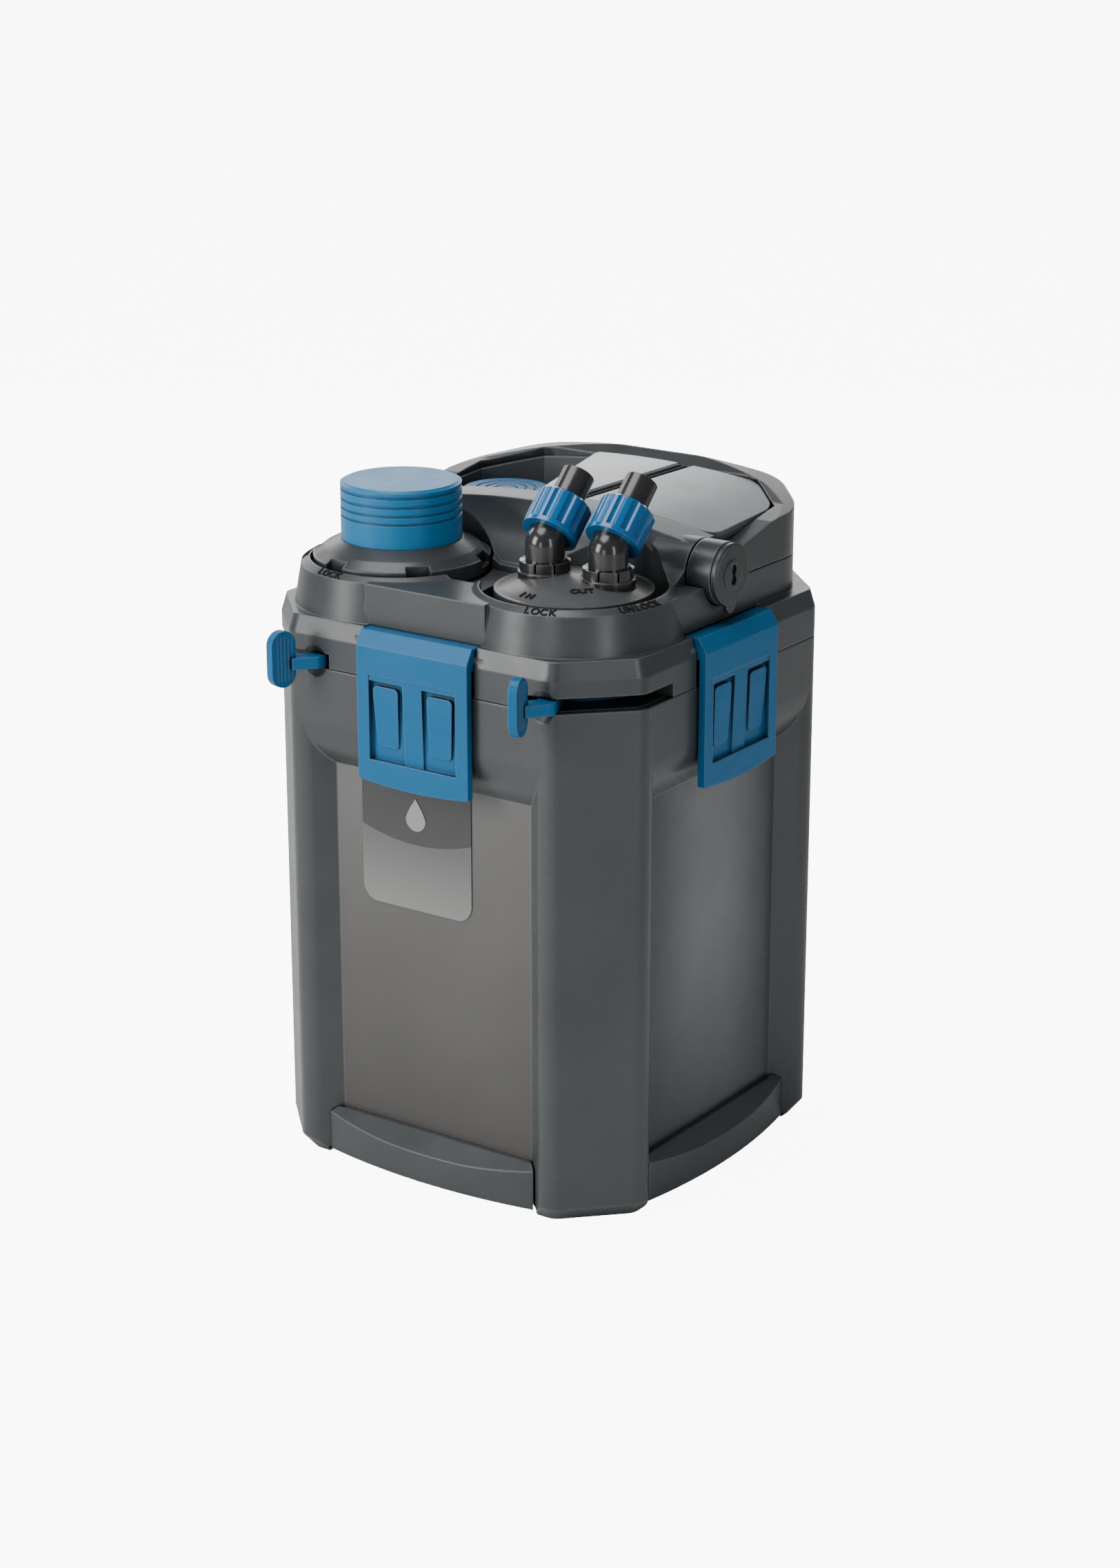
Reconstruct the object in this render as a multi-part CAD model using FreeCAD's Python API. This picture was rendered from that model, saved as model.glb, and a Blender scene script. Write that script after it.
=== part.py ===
import FreeCAD, Part
import os
import math

V = FreeCAD.Vector
os.makedirs("parts", exist_ok=True)

# ---------------------------------------------------------------- driving dimensions (mm)
BODY = 112.0          # outer planes of the corner columns, belt and head skirt
LEG = 32.0            # leg of the 45 degree corner chamfers
PANEL = 101.0         # recessed side panel plane
PANEL_HALF = 60.0     # half width of the flat panel
MOUTH = 72.0          # half width of the recess where it meets the columns
WALL = 3.5            # container wall
BELLY_LOW, BELT_LOW = 215.0, 240.0
SEAM = 267.5          # top edge of the container
HEAD_LOW, SKIRT_TOP, LEDGE = 268.0, 283.4, 292.6
LEDGE_IN = 2.6
WELL_X, WELL_Y = 53.0, -54.0
WELL_R, WELL_FLOOR, RIM_TOP, CROWN_TOP = 46.5, 300.0, 312.4, 314.8
RIM_R_LOW, RIM_R_TOP = 54.8, 51.2
WALL_Y = 103.6        # upper straight walls between and beside the wells
BORE_R, SLEEVE_R = 36.5, 39.5
BAND, BAND_TOP, CORNER = 103.3, 311.0, 30.0
UPSTAND = 92.3
TOP_Z, TOP_SLOPE, TOP_DROP = 340.5, 0.06, 9.0
HUB_Z, HUB_R, HUB_END = 317.0, 16.0, 92.4
PIVOT_R = 6.0
SWING_R = 95.3        # the folded handle's back bar lies outside this radius about its pivot
LATCH_HALF, LATCH_OUT, LATCH_IN = 33.7, 117.0, 113.0
LATCH_LOW, LATCH_TOP = 214.4, 292.4
PIN_Y, PIN_Z, PIN_R = 109.0, 286.0, 2.0
RING_LOW, RING_HIGH, RING_R = 268.4, 274.4, 43.4
MOTOR_X, MOTOR_Y, MOTOR_R = 15.0, 50.0, 32.0
SCREWS = ((-88.2, 88.2), (88.2, 88.2), (0.0, -78.0), (0.0, -28.0))
PRIME_X, PRIME_Y, PRIME_R = -60.0, 46.0, 25.0
KNOB_R, KNOB_LOW, KNOB_TOP = 30.7, 324.6, 354.0
PORTS = {"in": (37.0, -56.0), "out": (71.0, -51.0)}
BEND_Z, TUBE_R, TAIL_R, TAIL_FROM, TAIL_END = 334.0, 9.8, 8.35, 25.3, 40.7
NUT_R, NUT_FROM, NUT_TO = 14.4, 5.0, 23.5
TILT = V(0, math.sin(math.radians(45)), math.cos(math.radians(45)))
RUN = 0.06            # radial running clearance

parts = {}


# ---------------------------------------------------------------- helpers
def box(x0, x1, y0, y1, z0, z1):
    return Part.makeBox(x1 - x0, y1 - y0, z1 - z0, V(x0, y0, z0))


def cyl(r, x, y, z0, z1):
    return Part.makeCylinder(r, z1 - z0, V(x, y, z0))


def tube(r_out, r_in, x, y, z0, z1):
    return cyl(r_out, x, y, z0, z1).cut(cyl(r_in, x, y, z0 - 1, z1 + 1))


def cone(r0, r1, x, y, z0, z1):
    return Part.makeCone(r0, r1, z1 - z0, V(x, y, z0))


def xcyl(r, x0, x1, y, z):
    return Part.makeCylinder(r, x1 - x0, V(x0, y, z), V(1, 0, 0))


def ycyl(r, x, y0, y1, z):
    return Part.makeCylinder(r, y1 - y0, V(x, y0, z), V(0, 1, 0))


def along(r, base, start, stop):
    """Cylinder on the tilted hose axis, from start to stop millimetres past base."""
    return Part.makeCylinder(r, stop - start, base + TILT * start, TILT)


def join(shapes):
    out = shapes[0]
    for s in shapes[1:]:
        out = out.fuse(s)
    return out.removeSplitter()


def spin(shape, quarter):
    s = shape.copy()
    s.rotate(V(0, 0, 0), V(0, 0, 1), 90 * quarter)
    return s


def all_sides(shape):
    return [spin(shape, k) for k in range(4)]


def rounded_wire(points, radius, z):
    """Closed plan wire through points, each corner rounded by radius or by its own entry in a list."""
    n, edges, cuts = len(points), [], []
    radii = radius if isinstance(radius, list) else [radius] * n
    for i, (x, y) in enumerate(points):
        p = V(x, y, z)
        a = V(points[i - 1][0], points[i - 1][1], z) - p
        b = V(points[(i + 1) % n][0], points[(i + 1) % n][1], z) - p
        a.normalize()
        b.normalize()
        half = math.acos(max(-1.0, min(1.0, a.dot(b)))) / 2
        back = radii[i] / math.tan(half)
        way = a + b
        way.normalize()
        centre = p + way * (radii[i] / math.sin(half))
        cuts.append((p + a * back, centre - way * radii[i], p + b * back))
    for i in range(n):
        start, mid, end = cuts[i]
        edges.append(Part.Arc(start, mid, end).toShape())
        edges.append(Part.LineSegment(end, cuts[(i + 1) % n][0]).toShape())
    return Part.Wire(edges)


def octagon(h, leg):
    k = h - leg
    return [(k, -h), (h, -k), (h, k), (k, h), (-k, h), (-h, k), (-h, -k), (-k, -h)]


def column_prism(h, leg, r, z0, z1):
    face = Part.Face(rounded_wire(octagon(h, leg), r, z0))
    return face.extrude(V(0, 0, z1 - z0))


def column_loft(h0, leg0, h1, leg1, r, z0, z1):
    wires = [rounded_wire(octagon(h0, leg0), r, z0), rounded_wire(octagon(h1, leg1), r, z1)]
    return Part.makeLoft(wires, True)


def plan_prism(points, z0, z1):
    pts = [V(x, y, z0) for x, y in points]
    return Part.Face(Part.makePolygon(pts + [pts[0]])).extrude(V(0, 0, z1 - z0))


def side_prism(points, x0, x1):
    """Prism along X from a (y, z) outline."""
    pts = [V(x0, y, z) for y, z in points]
    return Part.Face(Part.makePolygon(pts + [pts[0]])).extrude(V(x1 - x0, 0, 0))


def recess(o):
    """Cutter for the front panel recess; o is how far inside the outer skin it lies."""
    y_panel, y_face, far = -(PANEL - o), -(BODY - o), -(BODY - o + 6)
    a, b = PANEL_HALF + 0.41 * o, MOUTH + 0.41 * o
    right = [V(a, y_panel, -2), V(b - 2.6, y_face + 2.4, -2)]
    lip = V(b + 0.7, y_face + 0.55, -2), V(b + 5, y_face, -2)
    edges = []

    def mirror(p):
        return V(-p.x, p.y, p.z)

    edges.append(Part.LineSegment(right[0], right[1]).toShape())
    edges.append(Part.Arc(right[1], lip[0], lip[1]).toShape())
    edges.append(Part.LineSegment(lip[1], V(b + 5, far, -2)).toShape())
    edges.append(Part.LineSegment(V(b + 5, far, -2), V(-b - 5, far, -2)).toShape())
    edges.append(Part.LineSegment(V(-b - 5, far, -2), mirror(lip[1])).toShape())
    edges.append(Part.Arc(mirror(lip[1]), mirror(lip[0]), mirror(right[1])).toShape())
    edges.append(Part.LineSegment(mirror(right[1]), mirror(right[0])).toShape())
    edges.append(Part.LineSegment(mirror(right[0]), right[0]).toShape())
    plan = Part.Face(Part.Wire(edges)).extrude(V(0, 0, BELT_LOW + 4))
    r = (11.0 ** 2 + 25.0 ** 2) / 22.0
    yc, zc = -(BODY - r), BELT_LOW
    rr = r - o
    start = zc - math.sqrt(rr ** 2 - (PANEL - o + yc) ** 2)
    half = 0.5 * math.asin((zc - start) / rr)
    mid = V(-90, yc - rr * math.cos(half), zc - rr * math.sin(half))
    top = V(-90, y_face, zc)
    e = [Part.LineSegment(V(-90, y_panel, -3), V(-90, y_panel, start)).toShape(),
         Part.Arc(V(-90, y_panel, start), mid, top).toShape(),
         Part.LineSegment(top, V(-90, far - 1, zc)).toShape(),
         Part.LineSegment(V(-90, far - 1, zc), V(-90, far - 1, -3)).toShape(),
         Part.LineSegment(V(-90, far - 1, -3), V(-90, y_panel, -3)).toShape()]
    profile = Part.Face(Part.Wire(e)).extrude(V(180, 0, 0))
    return plan.common(profile)


def dome(lift):
    """Everything under the arched, gently rising top surface, raised by lift."""
    z_mid, z_end = TOP_Z + lift, TOP_Z + lift - TOP_DROP * (110.0 / 93.0) ** 2
    y0 = -30.0
    off = TOP_SLOPE * (y0 - 8)
    a, b, c = V(-110, y0, z_end + off), V(0, y0, z_mid + off), V(110, y0, z_end + off)
    e = [Part.Arc(a, b, c).toShape(), Part.LineSegment(c, V(110, y0, 200)).toShape(),
         Part.LineSegment(V(110, y0, 200), V(-110, y0, 200)).toShape(),
         Part.LineSegment(V(-110, y0, 200), a).toShape()]
    return Part.Face(Part.Wire(e)).extrude(V(0, 160, 160 * TOP_SLOPE))


def rear_outline(h, leg, y_front):
    return [(h, y_front), (h, h - leg), (h - leg, h), (-(h - leg), h), (-h, h - leg), (-h, y_front)]


def rear_prism(h, leg, y_front, z0, z1):
    return plan_prism(rear_outline(h, leg, y_front), z0, z1)


def sector(cx, cy, r0, r1, a0, a1, z0, z1):
    ring = tube(r1, r0, cx, cy, z0, z1)
    steps = 6
    fan = [(cx, cy)]
    for i in range(steps + 1):
        a = math.radians(a0 + (a1 - a0) * i / steps)
        fan.append((cx + 2 * r1 * math.cos(a), cy + 2 * r1 * math.sin(a)))
    return ring.common(plan_prism(fan, z0 - 1, z1 + 1))


# ---------------------------------------------------------------- canister
def make_container():
    outer = column_prism(BODY, LEG, 9, 8, SEAM).fuse(column_loft(106, 29.5, BODY, LEG, 9, 0, 8))
    inner = column_prism(BODY - WALL, LEG - 0.586 * WALL, 7, 7, SEAM + 1)
    for cutter in all_sides(recess(0)):
        outer = outer.cut(cutter)
    for block in all_sides(recess(WALL)):
        inner = inner.cut(block)
    body = outer.cut(inner)
    for side in (-1, 1):
        body = body.cut(lever_scoop(side))
    # hollow underside between the four corner columns takes the plinth
    body = body.cut(box(-67, 67, -115, 115, -1, 3.2)).cut(box(-115, 115, -67, 67, -1, 3.2))
    return body.removeSplitter()


def make_plinth():
    plate = box(-58, 58, -103, 103, 0, 3).fuse(box(-103, 103, -58, 58, 0, 3))
    p0, p1, p2 = V(-65, -107, 2.4), V(0, -113.5, 2.4), V(65, -107, 2.4)
    edges = [Part.LineSegment(V(-59, -PANEL - 0.2, 2.4), p0).toShape(),
             Part.Arc(p0, p1, p2).toShape(),
             Part.LineSegment(p2, V(59, -PANEL - 0.2, 2.4)).toShape(),
             Part.LineSegment(V(59, -PANEL - 0.2, 2.4), V(-59, -PANEL - 0.2, 2.4)).toShape()]
    bar = Part.Face(Part.Wire(edges)).extrude(V(0, 0, 23.6))
    bevel = side_prism([(-125, 16), (-112.5, 18.5), (-104, 26.2), (-104, 30), (-125, 30)], -70, 70)
    bar = bar.cut(bevel)
    return join([plate] + all_sides(bar))


def tray(z0, z1, cut_top):
    h = PANEL - WALL - 1.2
    outer = column_prism(h, 20, 4, z0, z1)
    inner = column_prism(h - 1.8, 19, 3, z0 + 2, z1 + 1)
    body = outer.cut(inner)
    post = tube(40.8, 39.0, -WELL_X, WELL_Y, z0, z1)
    body = body.fuse(post.common(column_prism(h - 0.9, 19.5, 3, z0, z1)))
    body = body.cut(cyl(39.0, -WELL_X, WELL_Y, z0 - 1, z1 + 1))
    slots = []
    for i in range(-4, 5):
        for (y0, y1) in ((-6, 84), (-84, -18)):
            if y0 < -20 and i < 1:
                continue
            slots.append(box(i * 19 - 3, i * 19 + 3, y0, y1, z0 - 1, z0 + 3))
    return body.cut(Part.makeCompound(slots))


def tray_fill(z0, z1, gap):
    h = PANEL - WALL - 1.2 - 1.8 - gap
    fill = column_prism(h, 18.5, 3, z0, z1)
    return fill.cut(cyl(40.8 + gap, -WELL_X, WELL_Y, z0 - 1, z1 + 1))


def make_bio_rings(z0):
    rings = []
    for i in range(-3, 4):
        for j in range(-3, 4):
            x, y = i * 25.0 + 2, j * 25.0 + 2
            if math.hypot(x + WELL_X, y - WELL_Y) < 56:
                continue
            rings.append(tube(10.5, 5.5, x, y, z0, z0 + 24))
            rings.append(tube(10.5, 5.5, x, y, z0 + 25, z0 + 49))
    return Part.makeCompound(rings)


def make_canister():
    parts["container"] = make_container()
    parts["base_plinth"] = make_plinth()
    badge = plan_prism([(-44, -PANEL - 0.6), (24, -PANEL - 0.6), (24, -PANEL), (-44, -PANEL)], 146, 212)
    edges = [e for e in badge.Edges if abs(e.Vertexes[0].Z - e.Vertexes[-1].Z) < 0.1
             and abs(e.Vertexes[0].X - e.Vertexes[-1].X) < 0.1 and e.Vertexes[0].Z < 150]
    parts["front_badge"] = badge.makeFillet(9, edges)
    for name, z0 in (("lower", 9.0), ("middle", 78.0), ("upper", 147.0)):
        parts["media_tray_" + name] = tray(z0, z0 + 67, 0)
    parts["coarse_foam"] = tray_fill(12, 70, 0.4)
    parts["ceramic_rings"] = make_bio_rings(81)
    parts["fine_foam"] = tray_fill(150, 205, 0.4)
    lid = column_prism(PANEL - WALL - 1.2, 20, 4, 214.4, 217)
    lid = lid.cut(cyl(39.0, -WELL_X, WELL_Y, 200, 230))
    holes = [box(i * 19 - 3, i * 19 + 3, -4, 84, 210, 220) for i in range(-4, 5)]
    parts["tray_cover"] = lid.cut(Part.makeCompound(holes))


# ---------------------------------------------------------------- head
def make_housing():
    skirt = column_prism(BODY, LEG, 9, HEAD_LOW, SKIRT_TOP)
    bevel = column_loft(BODY, LEG, BODY - LEDGE_IN, LEG - 1.5, 9, SKIRT_TOP, LEDGE)
    skirt = skirt.fuse(bevel)
    cavity = column_prism(98, 24, 4, HEAD_LOW - 1, 288)
    skirt = skirt.cut(cavity)
    solids = [skirt]
    for s in (-1, 1):
        solids.append(cone(RIM_R_LOW, RIM_R_TOP, s * WELL_X, WELL_Y, LEDGE - 0.4, RIM_TOP))
        solids.append(cone(RIM_R_TOP, WELL_R + 0.9, s * WELL_X, WELL_Y, RIM_TOP, CROWN_TOP))
    solids.append(box(-WELL_X, WELL_X, -101.5, 11, LEDGE - 0.4, RIM_TOP))
    solids.append(box(-37, 36, -105.2, -60, LEDGE - 0.4, 313.2))
    solids.append(box(-WALL_Y, WALL_Y, WELL_Y, 11, LEDGE - 0.4, RIM_TOP))
    for s in (-1, 1):
        solids.append(xcyl(HUB_R, *sorted((s * 70, s * HUB_END)), 0, HUB_Z))
    # bulkhead behind the wells, with a hollowed front that the wells cut into
    x0, foot, crest = -HUB_END, V(-HUB_END, -34, 312.4), V(-HUB_END, -4.5, 350)
    low, rear_low, rear_top = V(x0, -34, LEDGE), V(x0, 11, LEDGE), V(x0, 11, 350)
    hollow = Part.Wire([Part.Arc(foot, V(x0, -12.5, 323), crest).toShape()] + [
        Part.LineSegment(a, b).toShape() for a, b in
        ((crest, rear_top), (rear_top, rear_low), (rear_low, low), (low, foot))])
    solids.append(Part.Face(hollow).extrude(V(2 * HUB_END, 0, 0)).common(dome(0)))
    band = Part.Face(rounded_wire(rear_outline(BAND, 29, -45), CORNER, LEDGE - 0.4))
    solids.append(band.extrude(V(0, 0, BAND_TOP - LEDGE + 0.4)))
    upstand = rear_prism(UPSTAND, 25, 8, BAND_TOP - 1, 350).common(dome(-3.2))
    solids.append(inside_swing(upstand))
    body = join(solids)
    # rear compartment
    body = body.cut(rear_prism(UPSTAND - 2.6, 24, 11.1, LEDGE, 360))
    for s in (-1, 1):
        body = body.cut(cyl(WELL_R, s * WELL_X, WELL_Y, WELL_FLOOR, 360))
        body = body.fuse(cyl(SLEEVE_R, s * WELL_X, WELL_Y, HEAD_LOW, 289))
        body = body.cut(cyl(BORE_R, s * WELL_X, WELL_Y, HEAD_LOW - 1, WELL_FLOOR + 1))
        body = body.cut(xcyl(HUB_R + 0.6, *sorted((s * HUB_END, s * 112)), 0, HUB_Z))
        body = body.cut(xcyl(PIVOT_R + 0.05, *sorted((s * 81.9, s * 94)), 0, HUB_Z))
    # dished saddle between the wells
    body = body.cut(Part.makeCylinder(60, 40, V(0, -34, 368), V(0, -1, 0)).common(
        box(-12, 12, -110, -8, 300, 400)))
    # latch pockets and pin holes
    pocket = box(-LATCH_HALF - 0.9, LATCH_HALF + 0.9, -BODY - 2, -100.6, HEAD_LOW - 1, LEDGE + 0.01)
    pin = xcyl(PIN_R + 0.05, -39, 39, -PIN_Y, PIN_Z)
    for cutter in all_sides(pocket.fuse(pin)):
        body = body.cut(cutter)
    # lever slots through the lower edge of the skirt
    body = body.cut(sector(WELL_X, WELL_Y, SLEEVE_R + 0.8, 95, -88, -1, HEAD_LOW - 1, 275.2))
    body = body.cut(sector(-WELL_X, WELL_Y, SLEEVE_R + 0.8, 95, -179, -101 + 9, HEAD_LOW - 1, 275.2))
    for side in (-1, 1):
        body = body.cut(lever_scoop(side))
    # motor bore, priming sleeve, cable gland hole, screw holes
    body = body.cut(cyl(MOTOR_R + 0.3, MOTOR_X, MOTOR_Y, 280, LEDGE + 1))
    body = body.fuse(tube(PRIME_R + 2.6, PRIME_R + 0.08, PRIME_X, PRIME_Y, LEDGE - 2, 319))
    body = body.cut(cyl(PRIME_R + 0.08, PRIME_X, PRIME_Y, LEDGE, 321))
    body = body.cut(ycyl(6.05, 62, 85, 106, 301.5))
    for x, y in SCREWS:
        if y < 0:
            body = body.fuse(cyl(4.4, x, y, HEAD_LOW, 289))
        body = body.cut(cyl(1.6, x, y, HEAD_LOW - 1, 279))
    return body.removeSplitter()


def make_base_plate():
    h, leg = BODY - WALL - 0.7, LEG - 0.586 * WALL - 0.3
    plate = column_prism(h, leg, 7, 258, HEAD_LOW)
    plate = plate.cut(column_prism(h - 6, leg - 3, 5, 257, 262.4))
    groove = column_prism(h + 2, leg, 7, 260, 264).cut(column_prism(h - 2.2, leg - 1.3, 6, 259, 265))
    plate = plate.cut(groove)
    for s in (-1, 1):
        plate = plate.cut(cyl(BORE_R, s * WELL_X, WELL_Y, 250, 270))
    plate = plate.cut(cyl(12, MOTOR_X, MOTOR_Y, 250, 270))
    for x, y in SCREWS:
        plate = plate.fuse(cyl(3.4, x, y, 260.5, 263)).cut(cyl(1.6, x, y, 250, 270))
        plate = plate.cut(cyl(3.3, x, y, 250, 260.5))
    return plate.removeSplitter()


def make_seal():
    h, leg = BODY - WALL - 0.35, LEG - 0.586 * WALL - 0.2
    return column_prism(h, leg, 7, 260.2, 263.8).cut(
        column_prism(BODY - WALL - 0.7 - 2.1, LEG - 0.586 * WALL - 1.6 + 0.1, 6, 259, 265))


def make_motor():
    block = cyl(MOTOR_R, MOTOR_X, MOTOR_Y, 268.2, 322).fuse(
        cyl(MOTOR_R - 5, MOTOR_X, MOTOR_Y, 322, 327))
    block = block.cut(cyl(10.2, MOTOR_X, MOTOR_Y, 260, 304))
    block = block.cut(cyl(1.55, MOTOR_X, MOTOR_Y, 303, 310))
    parts["motor_block"] = block
    cover = cyl(28, MOTOR_X, MOTOR_Y, 242, 262.3).cut(cyl(25.5, MOTOR_X, MOTOR_Y, 245, 270))
    cover = cover.cut(cyl(11, MOTOR_X, MOTOR_Y, 240, 250))
    spider = box(MOTOR_X - 12, MOTOR_X + 12, MOTOR_Y - 1.2, MOTOR_Y + 1.2, 242, 245)
    spider = spider.fuse(cyl(3.4, MOTOR_X, MOTOR_Y, 242, 246)).cut(cyl(1.55, MOTOR_X, MOTOR_Y, 243, 250))
    parts["impeller_cover"] = cover.fuse(spider).removeSplitter()
    parts["rotor_shaft"] = cyl(1.5, MOTOR_X, MOTOR_Y, 243, 309.5)
    parts["rotor_magnet"] = tube(9.0, 1.5 + RUN, MOTOR_X, MOTOR_Y, 262.5, 300)
    wheel = [tube(5.5, 1.5 + RUN, MOTOR_X, MOTOR_Y, 247, 262.5), tube(19, 5.4, MOTOR_X, MOTOR_Y, 259.6, 261.2)]
    for k in range(7):
        blade = box(MOTOR_X + 4.6, MOTOR_X + 19, MOTOR_Y - 0.9, MOTOR_Y + 0.9, 248, 260)
        blade.rotate(V(MOTOR_X, MOTOR_Y, 0), V(0, 0, 1), k * 360.0 / 7)
        wheel.append(blade)
    parts["impeller"] = join(wheel)


def inside_swing(shape):
    """Keeps what the back bar of the handle clears as it folds up."""
    return shape.common(xcyl(SWING_R - 0.7, -110, 110, 0, HUB_Z))


def make_motor_cover():
    edge = [(-15, 11.5), (91.8, 11.5), (91.8, 67.6), (67.6, 91.8), (-32, 91.8)]
    plate = Part.Face(rounded_wire(edge, [4, 9, 20, 20, 4], 300)).extrude(V(0, 0, 60))
    top = plate.common(dome(0)).cut(dome(-3))
    left = plan_prism([(-15, 12), (-12, 12), (-28.5, 89), (-31.5, 89)], 293, 350).common(dome(-2.5))
    cover = inside_swing(top.fuse(left))
    # one broad stepped channel from front to back
    for a, b, depth in ((0, 9.6, 0.9), (1.6, 4.2, 1.8), (5.4, 8.0, 1.8)):
        g = plan_prism([(5 + a, 5), (5 + b, 5), (21 + b, 98), (21 + a, 98)], 300, 360)
        cover = cover.cut(g.cut(dome(-depth)))
    return cover.removeSplitter()


def make_handle():
    outer = rear_outline(BAND, 29, -45)
    inner = rear_outline(93.0, 25.5, -60)
    ring = Part.Face(rounded_wire(outer, CORNER, BAND_TOP + 0.6)).extrude(V(0, 0, 50))
    hollow = Part.Face(rounded_wire(inner, CORNER - 6, 300)).extrude(V(0, 0, 70))
    ring = ring.cut(hollow).cut(box(-110, 110, -70, 3, 300, 370))
    side = side_prism([(-2, 300), (-2, 330), (10, 326.5), (20, 326), (49, 333), (72, 336.5),
                       (88, 341), (110, 350), (110, 300)], -112, 112)
    ring = ring.common(dome(1.6)).common(side)
    eyes = []
    for s in (-1, 1):
        eyes.append(xcyl(HUB_R, *sorted((s * 93.6, s * 107)), 0, HUB_Z))
    room = [(-92.8, 0), (-92.8, 70.8), (-67.5, SWING_R), (67.5, SWING_R), (92.8, 70.8), (92.8, 0)]
    pts = [V(x, 0, r) for x, r in room]
    swing = Part.Face(Part.makePolygon(pts + [pts[0]])).revolve(V(0, 0, 0), V(1, 0, 0), 360)
    swing.translate(V(0, 0, HUB_Z))
    body = join([ring.cut(swing)] + eyes)
    for s in (-1, 1):
        body = body.cut(xcyl(PIVOT_R + RUN, *sorted((s * 90, s * 110)), 0, HUB_Z))
    return body


def make_pivot(s):
    stem = xcyl(PIVOT_R, *sorted((s * 82, s * 107.6)), 0, HUB_Z)
    cap = xcyl(15.6, *sorted((s * 107.5, s * 109.8)), 0, HUB_Z).fuse(
        xcyl(14.6, *sorted((s * 109.7, s * 110.6)), 0, HUB_Z)).fuse(
        xcyl(7.5, *sorted((s * 110.5, s * 111.3)), 0, HUB_Z))
    cap = cap.fuse(xcyl(4.2, *sorted((s * 107.5, s * 109.8)), 0, HUB_Z - 15.5))
    slot = [xcyl(2.6, *sorted((s * 108.9, s * 112)), 0, HUB_Z + 2.6), xcyl(
        2.6, *sorted((s * 108.9, s * 112)), 0, HUB_Z - 2.6), box(
        *sorted((s * 108.9, s * 112)), -1.6, 1.6, HUB_Z - 4, HUB_Z + 4)]
    return stem.fuse(cap).cut(join(slot))


def make_bellows(x, y, r_in, r_out, wall, z0, z1, folds):
    """Rubber bellows under the priming button, turned from a zigzag profile."""
    step = (z1 - z0) / (2.0 * folds)
    wave = [(r_in if i % 2 == 0 else r_out, z0 + i * step) for i in range(2 * folds + 1)]
    outline = wave + [(r - wall, z) for r, z in reversed(wave)]
    pts = [V(r, 0, z) for r, z in outline]
    solid = Part.Face(Part.makePolygon(pts + [pts[0]])).revolve(V(0, 0, 0), V(0, 0, 1), 360)
    solid.translate(V(x, y, 0))
    return solid


def make_head():
    parts["head_housing"] = make_housing()
    parts["head_base_plate"] = make_base_plate()
    parts["head_seal"] = make_seal()
    make_motor()
    parts["motor_cover"] = make_motor_cover()
    gland = ycyl(6.0, 62, 89.9, 103.6, 301.5).fuse(ycyl(8.2, 62, 103.4, 106.4, 301.5))
    parts["cable_gland"] = gland.cut(ycyl(3.6, 62, 80, 110, 301.5))
    screws = []
    for x, y in SCREWS:
        screws.append(cyl(1.5, x, y, 260, 278).fuse(cyl(3, x, y, 258.2, 260.4)))
    parts["base_screws"] = Part.makeCompound(screws)
    pin = xcyl(PIN_R, -38.5, 38.5, -PIN_Y, PIN_Z)
    parts["latch_pins"] = Part.makeCompound(all_sides(pin))
    parts["handle_pivot_left"] = make_pivot(-1)
    parts["handle_pivot_right"] = make_pivot(1)
    parts["carry_handle"] = make_handle()
    parts["prime_bellows"] = make_bellows(PRIME_X, PRIME_Y, 13, 18, 1.4, LEDGE + 0.05, 309.9, 4)
    button = cyl(PRIME_R, PRIME_X, PRIME_Y, 312, 327).fuse(
        cone(PRIME_R, PRIME_R - 2.5, PRIME_X, PRIME_Y, 327, 329.5))
    button = button.cut(cyl(PRIME_R - 3, PRIME_X, PRIME_Y, 311, 324))
    button = button.fuse(cyl(5, PRIME_X, PRIME_Y, 310, 325))
    button = button.fuse(cyl(15, PRIME_X, PRIME_Y, 310, 311.8))
    for k in range(3):
        button = button.cut(tube(16.5 - 5 * k, 15.3 - 5 * k, PRIME_X, PRIME_Y, 328.9, 331))
    parts["prime_button"] = button.removeSplitter()


# ---------------------------------------------------------------- latches
def make_latch():
    plate = box(-LATCH_HALF, LATCH_HALF, -LATCH_OUT, -LATCH_IN, LATCH_LOW, 285.2)
    base = Part.makeCylinder(260, 8, V(0, -LATCH_OUT - 2, LATCH_LOW + 260), V(0, 1, 0))
    plate = plate.common(base)
    head = side_prism([(-LATCH_OUT, 285), (-112.6, LATCH_TOP), (-104.6, LATCH_TOP), (-104.4, 289.5),
                       (-104.8, 282), (-LATCH_IN, 281.5), (-LATCH_OUT, 281.5)], -LATCH_HALF, LATCH_HALF)
    body = plate.fuse(head)
    window = box(-26.5, 26.5, -LATCH_OUT - 1, -114.2, 227.5, 271)
    body = body.cut(window)
    tongue = side_prism([(-116.6, 271.5), (-116.6, 267), (-115.2, 227), (-114, 227), (-114, 271.5)], -5.8, 5.8)
    bar = side_prism([(-116.6, 271.5), (-116.5, 268.2), (-114, 268.2), (-114, 271.5)], -26.6, 26.6)
    pads = []
    for m in (-1, 1):
        outline = [(m * 24.3, 265.8), (m * 8.8, 265.8), (m * 9.6, 234.6), (m * 22.6, 234.6)]
        pts = [V(x, -118, z) for x, z in outline]
        pad = Part.Face(Part.makePolygon(pts + [pts[0]])).extrude(V(0, 5, 0))
        tall = [e for e in pad.Edges if abs(e.Vertexes[0].Y - e.Vertexes[-1].Y) > 1]
        crown = side_prism([(-116.4, 268), (-116.3, 258), (-115.6, 246), (-115.0, 233), (-114, 233),
                            (-114, 268)], -30, 30)
        pads.append(pad.makeFillet(2.5, tall).common(crown))
    body = join([body, tongue, bar] + pads)
    return body.cut(xcyl(PIN_R + RUN, -40, 40, -PIN_Y, PIN_Z))


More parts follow.
